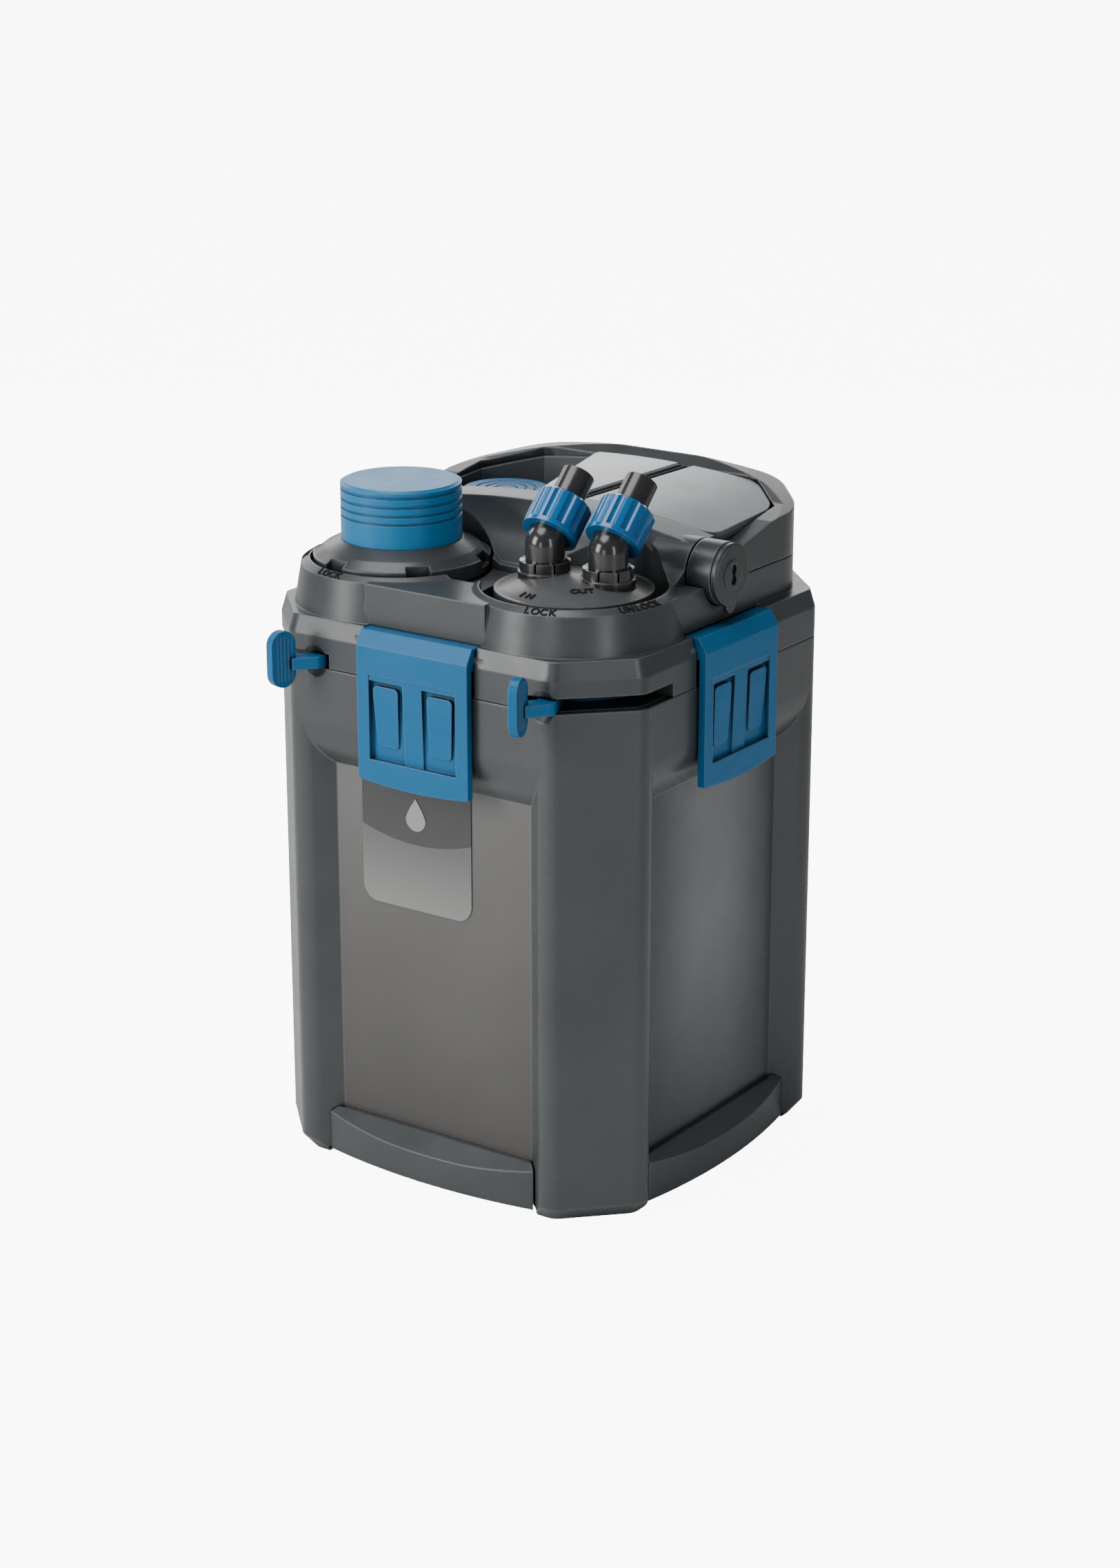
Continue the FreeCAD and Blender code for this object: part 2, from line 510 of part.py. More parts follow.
# ---------------------------------------------------------------- locking levers
def lever(side):
    """Locking ring with its arm, and the ribbed finger pad, for side +1 (hoses) or -1."""
    cx = side * WELL_X
    ring = tube(RING_R, SLEEVE_R + RUN, cx, WELL_Y, RING_LOW, RING_HIGH)
    pad_angle = math.radians(-90 + side * 14.4)
    rx, ry = math.cos(pad_angle), math.sin(pad_angle)
    exit_at = (78.0, -113.5) if side > 0 else (-63.0, -113.5)
    tip = (cx + 71.5 * rx, WELL_Y + 71.5 * ry)
    dx, dy = exit_at[0] - cx, exit_at[1] - WELL_Y
    n = math.hypot(dx, dy)
    ux, uy = dx / n, dy / n
    start = (cx + ux * 41.5, WELL_Y + uy * 41.5)
    w = 4.6
    arm = plan_prism([(start[0] - uy * w, start[1] + ux * w), (start[0] + uy * w, start[1] - ux * w),
                      (exit_at[0] + uy * w, exit_at[1] - ux * w),
                      (exit_at[0] - uy * w, exit_at[1] + ux * w)], RING_LOW, RING_HIGH)
    arm = arm.fuse(cyl(w, exit_at[0], exit_at[1], RING_LOW, RING_HIGH))
    ex, ey = tip[0] - exit_at[0], tip[1] - exit_at[1]
    m = math.hypot(ex, ey)
    ex, ey = ex / m, ey / m
    reach = plan_prism([(exit_at[0] - ey * w, exit_at[1] + ex * w), (exit_at[0] + ey * w, exit_at[1] - ex * w),
                        (tip[0] + ey * w, tip[1] - ex * w), (tip[0] - ey * w, tip[1] + ex * w)],
                       RING_LOW, RING_HIGH)
    body = join([ring, arm, reach])
    # upright oval pad whose broad, ribbed faces look along the turn
    mid, half_w, half_t = 274.2, 7.3, 2.3
    pad = box(-half_w, half_w, -half_t, half_t, mid - 7.2, mid + 7.2)
    pad = pad.fuse(ycyl(half_w, 0, -half_t, half_t, mid - 7.2)).fuse(ycyl(half_w, 0, -half_t, half_t, mid + 7.2))
    for k in (-4.4, -2.2, 0.0, 2.2, 4.4):
        for face in (-half_t, half_t):
            pad = pad.cut(cyl(0.55, k, face, mid - 12, mid + 12))
    pad.rotate(V(0, 0, 0), V(0, 0, 1), math.degrees(pad_angle))
    pad.translate(V(cx + 76.8 * rx, WELL_Y + 76.8 * ry, 0))
    return body.cut(pad), pad


def lever_scoop(side):
    """Shallow finger recess round a lever where it stands locked."""
    x = 75.0 if side > 0 else -64.0
    return Part.makeSphere(15, V(x, -BODY - 12.6, 270.5))


# ---------------------------------------------------------------- prefilter
def make_prefilter():
    x, y = -WELL_X, WELL_Y
    knob = cyl(KNOB_R - 0.9, x, y, KNOB_LOW, KNOB_TOP - 1).fuse(
        cone(KNOB_R - 0.9, KNOB_R - 2, x, y, KNOB_TOP - 1, KNOB_TOP))
    for z0, z1 in ((324.6, 336.6), (337.9, 340.7), (342.1, 345.1), (346.6, 349.9), (351.4, 353.0)):
        knob = knob.fuse(cyl(KNOB_R, x, y, z0, z1))
    knob = knob.cut(cyl(KNOB_R - 3.5, x, y, 320, KNOB_TOP - 4))
    parts["prefilter_knob"] = knob.fuse(cyl(9, x, y, 324.6, 351)).removeSplitter()
    lid = cyl(45, x, y, 309, 316.5).fuse(cone(44.4, 39.5, x, y, 316.5, 320.5))
    lid = lid.fuse(cone(39.5, 31.4, x, y, 320.5, KNOB_LOW))
    lid = lid.fuse(cyl(36.1, x, y, 284, 309))
    lid = lid.cut(cyl(33, x, y, 283, 312))
    for k in range(6):
        tab = sector(x, y, 41.5, 47, k * 60 + 10, k * 60 + 26, 312.5, 330)
        lid = lid.cut(tab)
    groove = tube(38, 34.6, x, y, 291.8, 295.2)
    parts["prefilter_lid"] = lid.cut(groove).removeSplitter()
    parts["prefilter_seal"] = tube(36.44, 34.7, x, y, 292, 295)
    cage = tube(34, 32, x, y, 16, 284).fuse(cyl(34, x, y, 14, 16.5)).fuse(tube(34, 30, x, y, 282, 284))
    windows = []
    for row in range(7):
        for k in range(5):
            w = box(0, 40, -12.5, 12.5, 24 + row * 36, 52 + row * 36)
            w.rotate(V(0, 0, 0), V(0, 0, 1), k * 72 + 20)
            w.translate(V(x, y, 0))
            windows.append(w)
    parts["prefilter_cage"] = cage.cut(Part.makeCompound(windows)).removeSplitter()
    parts["prefilter_foam"] = tube(31.2, 11, x, y, 17, 281.5)


# ---------------------------------------------------------------- hose unit
def make_hose_unit():
    x, y = WELL_X, WELL_Y
    ball_r = (39.5 ** 2 + 8.0 ** 2) / 16.0
    cap = cyl(39.5, x, y, 304, 313).fuse(
        Part.makeSphere(ball_r, V(x, y, 321 - ball_r)).common(cyl(39.5, x, y, 312.9, 325)))
    rim = tube(39.5, 37.6, x, y, 312.8, 330).cut(tube(60, 30, x, y, 313.9, 335))
    cap = cap.fuse(rim)
    for px, py in PORTS.values():
        cap = cap.cut(cyl(13.6, px, py, 300, 330))
    parts["hose_cap"] = cap.removeSplitter()
    valve = cyl(36.1, x, y, 270, 303.9).cut(tube(38, 34.6, x, y, 291.8, 295.2))
    for px, py in PORTS.values():
        valve = valve.cut(cyl(10.4, px, py, 290, 310)).cut(cyl(7.5, px, py, 260, 295))
    parts["hose_valve_body"] = valve
    parts["hose_unit_seal"] = tube(36.44, 34.7, x, y, 292, 295)
    for name, (px, py) in PORTS.items():
        collar = cyl(13.5, px, py, 304, 320.6).fuse(cyl(12.6, px, py, 320.5, 325.8))
        collar = collar.cut(cyl(TUBE_R + RUN, px, py, 300, 330))
        for k in range(8):
            slit = box(9, 15, -0.6, 0.6, 321, 327)
            slit.rotate(V(0, 0, 0), V(0, 0, 1), k * 45 + 12)
            slit.translate(V(px, py, 0))
            collar = collar.cut(slit)
        parts["snap_collar_" + name] = collar.removeSplitter()
        base = V(px, py, BEND_Z)
        elbow = cyl(TUBE_R, px, py, 298, BEND_Z).fuse(Part.makeSphere(TUBE_R, base))
        elbow = elbow.fuse(along(TUBE_R, base, 0, 18)).fuse(along(TAIL_R - 0.2, base, 17, TAIL_FROM))
        elbow = elbow.fuse(along(TAIL_R, base, TAIL_FROM, TAIL_END))
        elbow = elbow.cut(cyl(6.6, px, py, 297, BEND_Z)).cut(Part.makeSphere(6.6, base))
        elbow = elbow.cut(along(6.6, base, 0, TAIL_END + 1))
        parts["elbow_" + name] = elbow.removeSplitter()
        # fluted nut, turned upright and then tilted on to the hose axis
        nut = cyl(NUT_R, 0, 0, NUT_FROM, NUT_TO).fuse(cone(NUT_R, NUT_R - 1.9, 0, 0, NUT_TO, NUT_TO + 1.6))
        nut = nut.cut(cyl(TUBE_R + RUN, 0, 0, 0, 18.5)).cut(cyl(TAIL_R + 0.4, 0, 0, 0, 40))
        for k in range(12):
            a = 2 * math.pi * (k + 0.5) / 12
            far = NUT_R + 1.3
            nut = nut.cut(cyl(2.6, far * math.cos(a), far * math.sin(a), NUT_FROM + 2.4, 30))
        nut.rotate(V(0, 0, 0), V(1, 0, 0), -45)
        nut.translate(base)
        parts["union_nut_" + name] = nut.removeSplitter()


make_canister()
make_head()
for quarter, name in enumerate(("front", "right", "rear", "left")):
    parts["latch_" + name] = spin(make_latch(), quarter)
parts["hose_lock_ring"], parts["hose_lock_pad"] = lever(1)
parts["prefilter_lock_ring"], parts["prefilter_lock_pad"] = lever(-1)
make_prefilter()
make_hose_unit()

for node, shape in parts.items():
    shape.exportStep("parts/" + node + ".step")
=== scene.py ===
"""Looks for the external canister pump water filter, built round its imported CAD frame."""
import math

import bmesh
import bpy
from mathutils import Matrix, Vector


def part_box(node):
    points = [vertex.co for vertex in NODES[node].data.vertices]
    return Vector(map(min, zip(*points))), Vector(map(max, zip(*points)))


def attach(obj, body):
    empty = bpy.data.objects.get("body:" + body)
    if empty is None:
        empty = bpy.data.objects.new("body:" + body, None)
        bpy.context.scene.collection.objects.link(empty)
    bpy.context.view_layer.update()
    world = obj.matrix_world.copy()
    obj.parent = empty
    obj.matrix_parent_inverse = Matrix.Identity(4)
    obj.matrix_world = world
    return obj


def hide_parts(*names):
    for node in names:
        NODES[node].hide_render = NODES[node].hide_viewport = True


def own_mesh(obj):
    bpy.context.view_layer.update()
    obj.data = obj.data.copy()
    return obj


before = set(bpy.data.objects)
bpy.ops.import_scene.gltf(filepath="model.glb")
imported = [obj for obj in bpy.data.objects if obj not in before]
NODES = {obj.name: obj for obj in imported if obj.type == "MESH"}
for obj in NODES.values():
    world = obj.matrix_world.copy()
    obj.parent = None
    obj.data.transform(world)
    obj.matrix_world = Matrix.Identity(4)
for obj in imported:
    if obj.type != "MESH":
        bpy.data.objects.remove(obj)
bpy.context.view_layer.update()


def corners(node):
    """Lowest and highest corner of a node at rest."""
    node_low, node_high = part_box(node)
    return Vector(node_low), Vector(node_high)


cap_low, cap_high = corners("hose_cap")
badge_low, badge_high = corners("front_badge")
WELL_X, WELL_Y, _ = (cap_low + cap_high) / 2  # the hose unit's axis; the prefilter's has the opposite x


# ------------------------------------------------------------------ shader helpers
class Tree:
    """Short way to add and link shader nodes."""

    def __init__(self, name):
        self.mat = bpy.data.materials.new(name)
        self.mat.use_nodes = True
        self.nt = self.mat.node_tree
        self.bsdf = self.nt.nodes["Principled BSDF"]
        self.coord = self.nt.nodes.new("ShaderNodeTexCoord").outputs["Object"]

    def node(self, kind, **values):
        n = self.nt.nodes.new(kind)
        for key, v in values.items():
            setattr(n, key, v)
        return n

    def link(self, a, b):
        self.nt.links.new(a, b)

    def noise(self, scale, detail=3.0, rough=0.55):
        n = self.node("ShaderNodeTexNoise")
        n.inputs["Scale"].default_value = scale
        n.inputs["Detail"].default_value = detail
        n.inputs["Roughness"].default_value = rough
        self.link(self.coord, n.inputs["Vector"])
        return n.outputs["Fac"]

    def span(self, value, a, b, low, high, smooth=True):
        """Carry value from the range a to b onto the range low to high."""
        n = self.node("ShaderNodeMapRange", interpolation_type="SMOOTHSTEP" if smooth else "LINEAR")
        self.link(value, n.inputs["Value"])
        for key, v in (("From Min", a), ("From Max", b), ("To Min", low), ("To Max", high)):
            n.inputs[key].default_value = v
        return n.outputs["Result"]

    def above(self, value, limit, blur):
        """0 up to the limit, and 1 once value is a blur past it."""
        return self.span(value, limit, limit + blur, 0.0, 1.0)

    def below(self, value, limit, blur):
        """1 up to the limit, and 0 once value is a blur past it."""
        return self.span(value, limit, limit + blur, 1.0, 0.0)

    def uneven(self, scale, low, high):
        """Cloudy variation between low and high."""
        return self.span(self.noise(scale, 4.0), 0.3, 0.7, low, high)

    def math(self, op, a, b=None):
        n = self.node("ShaderNodeMath", operation=op)
        for i, v in enumerate((a, b)):
            if v is None:
                continue
            if isinstance(v, (int, float)):
                n.inputs[i].default_value = v
            else:
                self.link(v, n.inputs[i])
        return n.outputs[0]

    def mix(self, fac, a, b, blend="MIX"):
        n = self.node("ShaderNodeMix", data_type="RGBA", blend_type=blend)
        if isinstance(fac, (int, float)):
            n.inputs["Factor"].default_value = fac
        else:
            self.link(fac, n.inputs["Factor"])
        for key, v in (("A", a), ("B", b)):
            socket = [s for s in n.inputs if s.name == key and s.type == "RGBA"][0]
            if isinstance(v, tuple):
                socket.default_value = (*v, 1.0)
            else:
                self.link(v, socket)
        return [s for s in n.outputs if s.type == "RGBA"][0]

    def axes(self):
        n = self.node("ShaderNodeSeparateXYZ")
        self.link(self.coord, n.inputs[0])
        return n.outputs[0], n.outputs[1], n.outputs[2]


def scaled(colour, k):
    return tuple(min(1.0, c * k) for c in colour)


EDGE_HIGHLIGHT_TINT, EDGE_HIGHLIGHT_SHARE = (0.45, 0.47, 0.5), 0.22  # painted highlight colour added on the edges, and the most of it
GRAIN_SCALE, GRAIN_DEPTH = 2600.0, 0.00012
COAT_ROUGHNESS = 0.16


def finish_plastic(t, colour, rough, grain, edge, crevice_shade, coat, reach=0.010, ior=1.5):
    """Fine grain, painted highlights on edges, painted shade darkening crevices and uneven gloss, shared
    by every moulding.
    """
    b = t.bsdf
    bevel = t.node("ShaderNodeBevel", samples=4)
    bevel.inputs["Radius"].default_value = edge
    geometry = t.node("ShaderNodeNewGeometry")
    dot = t.node("ShaderNodeVectorMath", operation="DOT_PRODUCT")
    t.link(bevel.outputs["Normal"], dot.inputs[0])
    t.link(geometry.outputs["Normal"], dot.inputs[1])
    # painted highlight: a pale tint added along rounded edges, standing in for light catching them
    edge_highlight = t.span(dot.outputs["Value"], 0.995, 0.86, 0.0, EDGE_HIGHLIGHT_SHARE)
    colour = t.mix(edge_highlight, colour, t.mix(1.0, colour, EDGE_HIGHLIGHT_TINT, "ADD"))
    # painted shade: ambient occlusion darkens the colour in crevices, gaps and recesses, down to the
    # crevice value
    ao = t.node("ShaderNodeAmbientOcclusion", samples=6)
    ao.inputs["Distance"].default_value = reach
    shade = t.span(ao.outputs["AO"], 0.15, 0.85, crevice_shade, 1.0)
    t.link(t.mix(1.0, colour, shade, "MULTIPLY"), b.inputs["Base Color"])
    t.link(t.uneven(55.0, rough - 0.025, rough + 0.035), b.inputs["Roughness"])
    bump = t.node("ShaderNodeBump")
    bump.inputs["Strength"].default_value = grain
    bump.inputs["Distance"].default_value = GRAIN_DEPTH
    t.link(t.noise(GRAIN_SCALE, 2.0, 0.6), bump.inputs["Height"])
    t.link(bevel.outputs["Normal"], bump.inputs["Normal"])
    t.link(bump.outputs["Normal"], b.inputs["Normal"])
    b.inputs["Coat Weight"].default_value = coat
    b.inputs["Coat Roughness"].default_value = COAT_ROUGHNESS
    b.inputs["IOR"].default_value = ior
    return t.mat


def plastic(name, colour, rough=0.36, vary=0.10, grain=0.16, edge=0.0009, crevice_shade=0.35, coat=0.0,
            reach=0.010, ior=1.5):
    """Moulding in one colour, a little blotchy and with specks of dust."""
    t = Tree(name)
    blotch = t.uneven(14.0, 0.0, 1.0)
    base = t.mix(blotch, scaled(colour, 1 - vary), scaled(colour, 1 + vary))
    dust = t.span(t.noise(420.0, 5.0, 0.7), 0.62, 0.8, 0.0, 0.12)
    base = t.mix(dust, base, scaled(colour, 1.6))
    return finish_plastic(t, base, rough, grain, edge, crevice_shade, coat, reach, ior)


PANEL_FACE = 0.1016  # how far the recessed side panels are from the middle of the container
PANEL_HALF_WIDTH, PANEL_TOP = 0.0600, 0.2150


def container_material():
    """Dark columns and belt round lighter side panels, with painted light and shade as if light came
    through them: a lit copy on the front panel and a dim copy with a painted glow in the middle of the
    other panels, both painted darker towards the bottom.
    """
    t = Tree("container_shell")
    x, y, z = t.axes()
    ax, ay = t.math("ABSOLUTE", x), t.math("ABSOLUTE", y)
    far, near = t.math("MAXIMUM", ax, ay), t.math("MINIMUM", ax, ay)
    panel = t.math("MULTIPLY", t.below(far, PANEL_FACE, 0.0008), t.below(near, PANEL_HALF_WIDTH, 0.0009))
    panel = t.math("MULTIPLY", panel, t.below(z, PANEL_TOP, 0.0015))
    # painted shade: the panels are painted darker towards the bottom
    height = t.span(z, 0.02, 0.21, 0.0, 1.0, False)
    middle = t.span(near, 0.006, PANEL_HALF_WIDTH, 1.0, 0.0)
    # painted light: the front panel takes the lit copy, the other panels the dim copy with a painted glow
    # in their middle
    front = t.below(t.math("ADD", y, t.math("MULTIPLY", ax, 0.2)), -0.09, 0.02)
    lit = t.mix(height, (0.047, 0.0455, 0.0445), (0.122, 0.120, 0.118))
    glow = t.math("MULTIPLY", middle, t.span(z, 0.03, 0.15, 0.25, 1.0))
    dim = t.mix(glow, (0.028, 0.032, 0.036), (0.150, 0.157, 0.164))
    streak = t.span(t.noise(9.0, 2.0), 0.3, 0.7, 0.92, 1.08)
    panel_colour = t.mix(1.0, t.mix(front, dim, lit), streak, "MULTIPLY")
    grey = t.mix(t.uneven(14.0, 0.0, 1.0), (0.040, 0.045, 0.048), (0.050, 0.056, 0.060))
    return finish_plastic(t, t.mix(panel, grey, panel_colour), 0.34, 0.12, 0.0016, 0.35, 0.12)


BADGE_X = (badge_low.x + badge_high.x) / 2
BADGE_SPLIT, BADGE_SAG = 0.1806, 5.0  # height of the line between its fields, and how much it curves


def badge_material():
    """Printed film: a dark upper field and a pale lower one that fades upwards."""
    t = Tree("badge_film")
    x, _, z = t.axes()
    off = t.math("ADD", x, -BADGE_X)
    line = t.math("SUBTRACT", z, t.math("MULTIPLY", t.math("MULTIPLY", off, off), BADGE_SAG))
    lower = t.below(line, BADGE_SPLIT, 0.0006)
    pale = t.mix(t.span(z, 0.147, 0.182, 0.0, 1.0, False), (0.215, 0.215, 0.211), (0.115, 0.115, 0.115))
    dark = t.mix(t.span(z, 0.18, 0.212, 0.0, 1.0, False), (0.046, 0.046, 0.046), (0.028, 0.029, 0.030))
    return finish_plastic(t, t.mix(lower, dark, pale), 0.3, 0.05, 0.0003, 0.7, 0.2)


CHANNEL_X, CHANNEL_Y, CHANNEL_WIDTH = 0.005, 0.005, 0.0095
CHANNEL_LEAN = 0.172  # x gained for each metre along y


def cover_material():
    """Pale satin cover that darkens to the right of its dark channel."""
    t = Tree("cover_grey")
    x, y, _ = t.axes()
    lean = t.math("MULTIPLY", t.math("SUBTRACT", y, CHANNEL_Y), CHANNEL_LEAN)
    across = t.math("SUBTRACT", t.math("SUBTRACT", x, CHANNEL_X), lean)
    started = t.above(across, 0.0001, 0.0006)
    channel = t.math("MULTIPLY", started, t.below(across, CHANNEL_WIDTH - 0.0006, 0.0006))
    pale = t.mix(t.span(across, -0.04, 0.075, 0.0, 1.0), (0.60, 0.62, 0.64), (0.150, 0.165, 0.175))
    pale = t.mix(1.0, pale, t.uneven(30.0, 0.95, 1.05), "MULTIPLY")
    colour = t.mix(channel, pale, (0.020, 0.022, 0.024))
    mat = finish_plastic(t, colour, 0.34, 0.12, 0.0010, 0.5, 0.0, ior=1.35)
    satin = t.bsdf.inputs["Roughness"].links[0].from_socket
    t.link(t.math("MAXIMUM", satin, t.math("MULTIPLY", channel, 0.85)), t.bsdf.inputs["Roughness"])
    return mat


def foam(name, colour, scale):
    """Open-celled foam, dark in the middle of each cell."""
    t = Tree(name)
    cells = t.node("ShaderNodeTexVoronoi")
    cells.inputs["Scale"].default_value = scale
    t.link(t.coord, cells.inputs["Vector"])
    dark = t.mix(t.span(cells.outputs["Distance"], 0.0, 0.5, 0.0, 1.0), scaled(colour, 0.3), colour)
    t.link(dark, t.bsdf.inputs["Base Color"])
    t.bsdf.inputs["Roughness"].default_value = 0.95
    bump = t.node("ShaderNodeBump")
    bump.inputs["Distance"].default_value = 0.0008
    t.link(cells.outputs["Distance"], bump.inputs["Height"])
    t.link(bump.outputs["Normal"], t.bsdf.inputs["Normal"])
    return t.mat


def steel(name):
    t = Tree(name)
    t.bsdf.inputs["Metallic"].default_value = 1.0
    t.link(t.mix(t.noise(300.0), (0.5, 0.5, 0.52), (0.66, 0.66, 0.67)), t.bsdf.inputs["Base Color"])
    t.link(t.span(t.noise(900.0), 0.3, 0.7, 0.22, 0.36), t.bsdf.inputs["Roughness"])
    return t.mat


MATS = {
    "container": container_material(),
    "badge": badge_material(),
    "grey": plastic("satin_grey", (0.047, 0.053, 0.057), 0.33, edge=0.0012),
    "handle": plastic("handle_grey", (0.029, 0.033, 0.036), 0.30, edge=0.0016, coat=0.1),
    "hub": plastic("hub_grey", (0.026, 0.030, 0.032), 0.32, edge=0.0012),
    "cover": cover_material(),
    "inner": plastic("inner_dark", (0.016, 0.018, 0.020), 0.5),
    # the blue's very low crevice value paints deep shade into its gaps, as in the latch windows
    "blue": plastic("latch_blue", (0.0, 0.118, 0.285), 0.40, 0.06, edge=0.0010, crevice_shade=0.03,
                    reach=0.011, ior=1.36),
    "knob": plastic("knob_blue", (0.0, 0.165, 0.375), 0.38, 0.05, grain=0.25, edge=0.0007,
                    crevice_shade=0.2, reach=0.004, ior=1.4),
    "nut": plastic("nut_blue", (0.0, 0.112, 0.31), 0.16, 0.06, grain=0.05, edge=0.0006, coat=0.5),
    "gloss": plastic("gloss_black", (0.022, 0.0225, 0.024), 0.20, 0.10, grain=0.03, edge=0.0007,
                     coat=0.4),
    "dome": plastic("dome_grey", (0.072, 0.074, 0.076), 0.34, 0.06, grain=0.05, edge=0.0008,
                    coat=0.15),
    "lid": plastic("lid_grey", (0.038, 0.042, 0.045), 0.30, 0.12, grain=0.12, edge=0.0010),
    "tail": plastic("tail_black", (0.009, 0.009, 0.010), 0.6, 0.12, grain=0.3, edge=0.0005),
    "rubber": plastic("seal_rubber", (0.010, 0.010, 0.010), 0.72, 0.1, grain=0.3),
    "steel": steel("steel"),
    "ceramic": plastic("ceramic", (0.72, 0.68, 0.60), 0.85, 0.08, grain=0.6),
    "coarse": foam("coarse_foam_blue", (0.02, 0.12, 0.35), 420.0),
    "fine": foam("fine_foam_white", (0.8, 0.82, 0.8), 1400.0),
    # painted shade: the raised letters are near-black, standing in for the shade in the moulded lettering
    "letter": plastic("rim_letters", (0.006, 0.006, 0.007), 0.75, edge=0.0002, ior=1.3),
    "mark": plastic("badge_mark", (0.30, 0.31, 0.31), 0.3, 0.03, edge=0.0001),
}
FINISH = {
    "container": ["container"],
    "badge": ["front_badge"],
    "grey": ["head_housing", "base_plinth"],
    "handle": ["carry_handle"],
    "hub": ["handle_pivot_left", "handle_pivot_right"],
    "cover": ["motor_cover"],
    "inner": ["media_tray_lower", "media_tray_middle", "media_tray_upper", "tray_cover", "head_base_plate",
              "motor_block", "impeller_cover", "rotor_magnet", "impeller"],
    "blue": ["latch_front", "latch_right", "latch_rear", "latch_left", "hose_lock_ring", "hose_lock_pad",
             "prefilter_lock_ring", "prefilter_lock_pad", "prime_button"],
    "knob": ["prefilter_knob"],
    "nut": ["union_nut_in", "union_nut_out"],
    "gloss": ["elbow_in", "elbow_out", "snap_collar_in", "snap_collar_out", "hose_valve_body"],
    "dome": ["hose_cap"],
    "lid": ["prefilter_lid"],
    "tail": ["prefilter_cage", "cable_gland"],
    "rubber": ["head_seal", "prefilter_seal", "hose_unit_seal", "prime_bellows"],
    "steel": ["rotor_shaft", "base_screws", "latch_pins"],
    "ceramic": ["ceramic_rings"],
    "coarse": ["coarse_foam", "prefilter_foam"],
    "fine": ["fine_foam"],
}
finished = [name for names in FINISH.values() for name in names]
assert sorted(finished) == sorted(NODES), set(finished) ^ set(NODES)
for key, names in FINISH.items():
    for name in names:
        slots = NODES[name].material_slots
        if not slots:
            NODES[name].data.materials.append(MATS[key])
        for s in slots:
            s.material = MATS[key]


# ------------------------------------------------------------------ pieces
def new_object(name, bm, mat):
    mesh = bpy.data.meshes.new(name)
    bm.to_mesh(mesh)
    bm.free()
    obj = bpy.data.objects.new(name, mesh)
    bpy.context.scene.collection.objects.link(obj)
    mesh.materials.append(mat)
    return obj


LETTER_SIZE, LETTER_DEPTH = 0.0056, 0.0006


def letters(name, word, place):
    """One mesh of raised letters; place(i, n) gives each letter's matrix."""
    bm = bmesh.new()
    for i, char in enumerate(word):
        curve = bpy.data.curves.new(name + "_c", "FONT")
        curve.body, curve.size, curve.extrude = char, LETTER_SIZE, LETTER_DEPTH / 2
        curve.align_x, curve.align_y = "CENTER", "CENTER"
        curve.bevel_depth, curve.bevel_resolution = LETTER_DEPTH * 0.25, 1
        holder = bpy.data.objects.new(name + "_h", curve)
        bpy.context.scene.collection.objects.link(holder)
        mesh = bpy.data.meshes.new_from_object(holder)
        mesh.transform(place(i, len(word)))
        bm.from_mesh(mesh)
        bpy.data.objects.remove(holder)
        bpy.data.meshes.remove(mesh)
    return new_object(name, bm, MATS["letter"])


def round_rim(cx, radius, z, middle, step, tilt):
    """Places for letters on a circle about a well; middle and step are in degrees, tilt in radians."""
    def place(i, n):
        a = math.radians(middle + (i - (n - 1) / 2) * step)
        at = Matrix.Translation((cx + radius * math.cos(a), WELL_Y + radius * math.sin(a), z))
        return at @ Matrix.Rotation(a + math.pi / 2, 4, "Z") @ Matrix.Rotation(tilt, 4, "X")
    return place


RIM_RADIUS, RIM_Z, RIM_TILT = 0.0493, 0.3136, 0.563  # middle of the sloped rim round each well
for name, word, side, middle in (("rim_lock_hose", "LOCK", 1, -75),
                                 ("rim_unlock_hose", "UNLOCK", 1, -15),
                                 ("rim_lock_prefilter", "LOCK", -1, -100),
                                 ("rim_unlock_prefilter", "UNLOCK", -1, -160)):
    piece = letters(name, word, round_rim(side * WELL_X, RIM_RADIUS, RIM_Z, middle, 5.0, RIM_TILT))
    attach(piece, "head")

CAP_CURVE = 0.1015  # radius of the hose cap's dome
for name, word, angle, radius in (("port_in", "IN", -100, 0.033), ("port_out", "OUT", -46, 0.025)):
    height = cap_high.z - radius ** 2 / (2 * CAP_CURVE)
    piece = letters(name, word, round_rim(WELL_X, radius, height, angle, 9.0, radius / CAP_CURVE))
    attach(piece, "hose_unit")

DROP_RADIUS, DROP_STRETCH, DROP_TAPER, DROP_POINTS = 0.0062, 1.75, 0.55, 40
DROP_Y, DROP_Z, DROP_DEPTH = badge_low.y - 0.00005, badge_high.z - 0.0175, 0.0003


def drop_mark():
    """Plain water drop in flat relief on the badge: a circle whose upper half is drawn to a point."""
    bm = bmesh.new()
    rings = []
    for depth in (0.0, DROP_DEPTH):
        ring = []
        for i in range(DROP_POINTS):
            a = 2 * math.pi * i / DROP_POINTS
            px = DROP_RADIUS * math.cos(a)
            pz = DROP_RADIUS * math.sin(a)
            if pz > 0:
                px *= max(0.0, 1 - pz / DROP_RADIUS) ** DROP_TAPER
                pz *= DROP_STRETCH
            ring.append(bm.verts.new((BADGE_X + px, DROP_Y - depth, DROP_Z + pz)))
        rings.append(ring)
    for i in range(DROP_POINTS):
        j = (i + 1) % DROP_POINTS
        bm.faces.new((rings[0][i], rings[0][j], rings[1][j], rings[1][i]))
    bm.faces.new(rings[1])
    bm.faces.new(list(reversed(rings[0])))
    bmesh.ops.recalc_face_normals(bm, faces=bm.faces)
    return new_object("badge_drop", bm, MATS["mark"])


mark = drop_mark()
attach(mark, "canister")


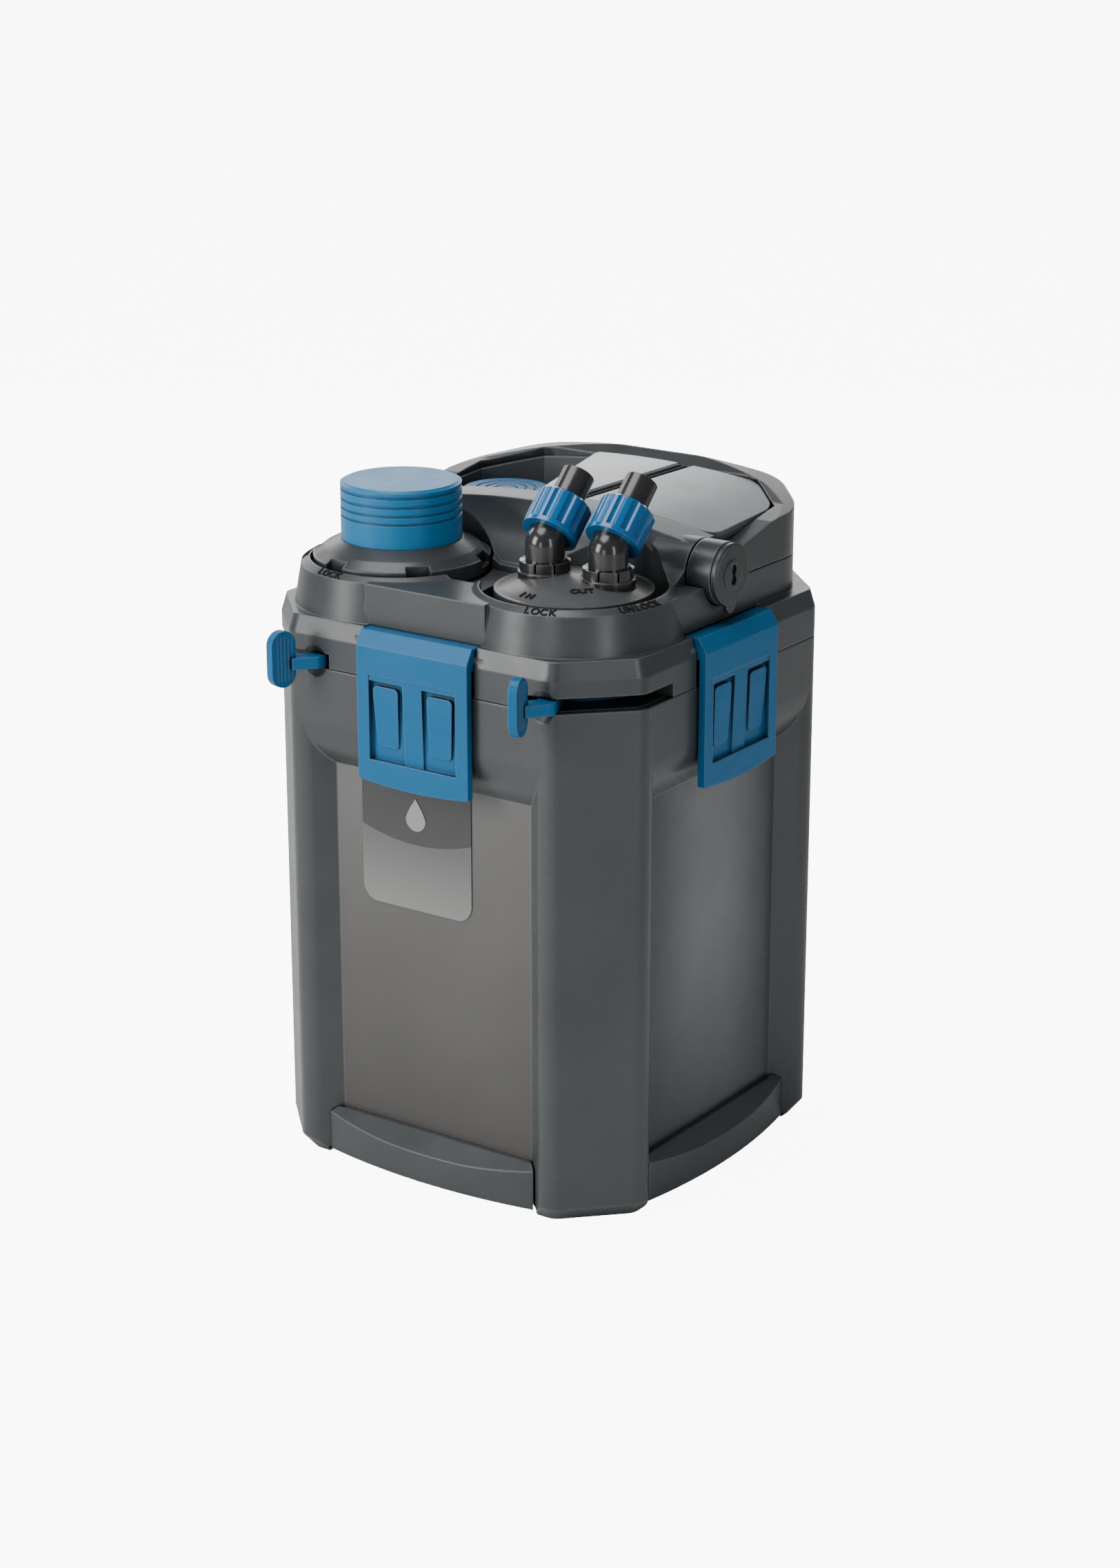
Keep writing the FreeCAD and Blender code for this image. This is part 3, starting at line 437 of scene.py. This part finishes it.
def bellows_sleeve(low, high, folds=4, depth=0.005, wall=0.0014, sides=72, steps=12):
    """Closed rubber sleeve with rounded folds, in the place of its CAD solid."""
    middle = (low + high) / 2
    crest = (high.x - low.x) / 2
    profile = []
    for i in range(folds * steps + 1):
        share = i / (folds * steps)
        radius = crest - depth / 2 * (1 + math.cos(2 * math.pi * folds * share))
        profile.append((radius, low.z + share * (high.z - low.z)))
    profile += [(radius - wall, z) for radius, z in reversed(profile)]
    bm = bmesh.new()
    rings = []
    for k in range(sides):
        a = 2 * math.pi * k / sides
        ring = [(middle.x + r * math.cos(a), middle.y + r * math.sin(a), z) for r, z in profile]
        rings.append([bm.verts.new(point) for point in ring])
    for k, ring in enumerate(rings):
        beside = rings[(k + 1) % sides]
        for i in range(len(profile)):
            j = (i + 1) % len(profile)
            bm.faces.new((ring[i], beside[i], beside[j], ring[j]))
    bmesh.ops.recalc_face_normals(bm, faces=bm.faces)
    for face in bm.faces:
        face.smooth = True
    return new_object("prime_bellows_sleeve", bm, MATS["rubber"])


sleeve_low, sleeve_high = corners("prime_bellows")
sleeve = bellows_sleeve(sleeve_low, sleeve_high)
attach(sleeve, "head")
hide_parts("prime_bellows")
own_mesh(sleeve)


# ------------------------------------------------------------------ stage
LIT_POINT = Vector((0.0, 0.0, 0.2))  # what every light is turned towards


def area(name, place, size, power, colour=(1, 1, 1)):
    data = bpy.data.lights.new(name, "AREA")
    data.shape, data.size, data.size_y = "RECTANGLE", size[0], size[1]
    data.energy, data.color = power, colour
    obj = bpy.data.objects.new(name, data)
    bpy.context.scene.collection.objects.link(obj)
    obj.location = place
    obj.rotation_euler = (LIT_POINT - Vector(place)).to_track_quat("-Z", "Y").to_euler()


area("key", (-1.0, -1.75, 0.95), (0.8, 1.4), 38, (1.0, 0.985, 0.965))
area("front", (0.35, -2.0, 0.35), (0.35, 0.9), 4)
area("top", (-0.2, -0.3, 1.6), (0.9, 0.9), 13)
area("side", (1.75, -0.75, 0.7), (0.22, 1.4), 8.0, (0.93, 0.97, 1.0))
area("back", (-0.95, 1.4, 0.85), (2.0, 0.9), 14)
area("left", (-1.8, 0.3, 0.8), (0.5, 1.2), 6)


def seen_brighter(tree, strength, dim, bright):
    """Make strength higher where the camera sees the stage than where it lights the object."""
    ray = tree.nodes.new("ShaderNodeLightPath")
    pick = tree.nodes.new("ShaderNodeMapRange")
    pick.inputs["To Min"].default_value, pick.inputs["To Max"].default_value = dim, bright
    tree.links.new(ray.outputs["Is Camera Ray"], pick.inputs["Value"])
    tree.links.new(pick.outputs["Result"], strength)


def studio_floor():
    """Plain pale floor, just under the object's feet."""
    bm = bmesh.new()
    bmesh.ops.create_grid(bm, x_segments=2, y_segments=2, size=30.0)
    t = Tree("floor")
    t.link(t.mix(t.noise(0.6), (0.80, 0.80, 0.80), (0.83, 0.83, 0.83)), t.bsdf.inputs["Base Color"])
    t.bsdf.inputs["Roughness"].default_value = 0.9
    t.bsdf.inputs["Emission Color"].default_value = (1, 1, 1, 1)
    seen_brighter(t.nt, t.bsdf.inputs["Emission Strength"], 0.04, 9.0)
    floor = new_object("studio_floor", bm, t.mat)
    floor.location.z = -0.0005
    return floor


studio_floor()

world = bpy.data.worlds.new("studio")
bpy.context.scene.world = world
world.use_nodes = True
back = world.node_tree.nodes["Background"]
back.inputs["Color"].default_value = (0.97, 0.985, 1.0, 1)
seen_brighter(world.node_tree, back.inputs["Strength"], 0.17, 10.0)

CAMERA_PLACE = Vector((0.9092, -1.2956, 0.7127))
CAMERA_TARGET = Vector((0.00464, 0.00323, 0.18754))
cam_data = bpy.data.cameras.new("camera")
cam_data.sensor_width, cam_data.sensor_fit, cam_data.lens = 36.0, "AUTO", 73.14
cam = bpy.data.objects.new("camera", cam_data)
bpy.context.scene.collection.objects.link(cam)
cam.location = CAMERA_PLACE
cam.rotation_euler = (CAMERA_TARGET - cam.location).to_track_quat("-Z", "Y").to_euler()
bpy.context.scene.camera = cam
